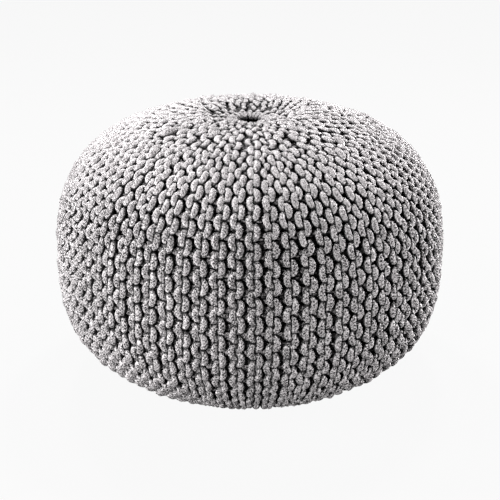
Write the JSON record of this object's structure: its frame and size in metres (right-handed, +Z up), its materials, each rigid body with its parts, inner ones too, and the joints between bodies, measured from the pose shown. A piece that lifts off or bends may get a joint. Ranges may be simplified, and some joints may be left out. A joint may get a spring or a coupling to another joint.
{
  "type": "round knitted pouf",
  "caption": "Low round floor pouf in chunky garter-stitch cord, with a gathered eye on top and a flat foot; a footstool or floor seat.",
  "frame": {"origin": "middle of the foot, on the surface that the pouf stands on", "axes": "+Z up along the pouf's middle line, -Y is the side that faces the viewer"},
  "size_m": [0.5108, 0.508, 0.3553],
  "materials": {
    "cotton_cord": "matt knitted cotton cord, light grey"
  },
  "bodies": {
    "root": {"knitted_pouf": "cotton_cord"}
  },
  "joints": []
}
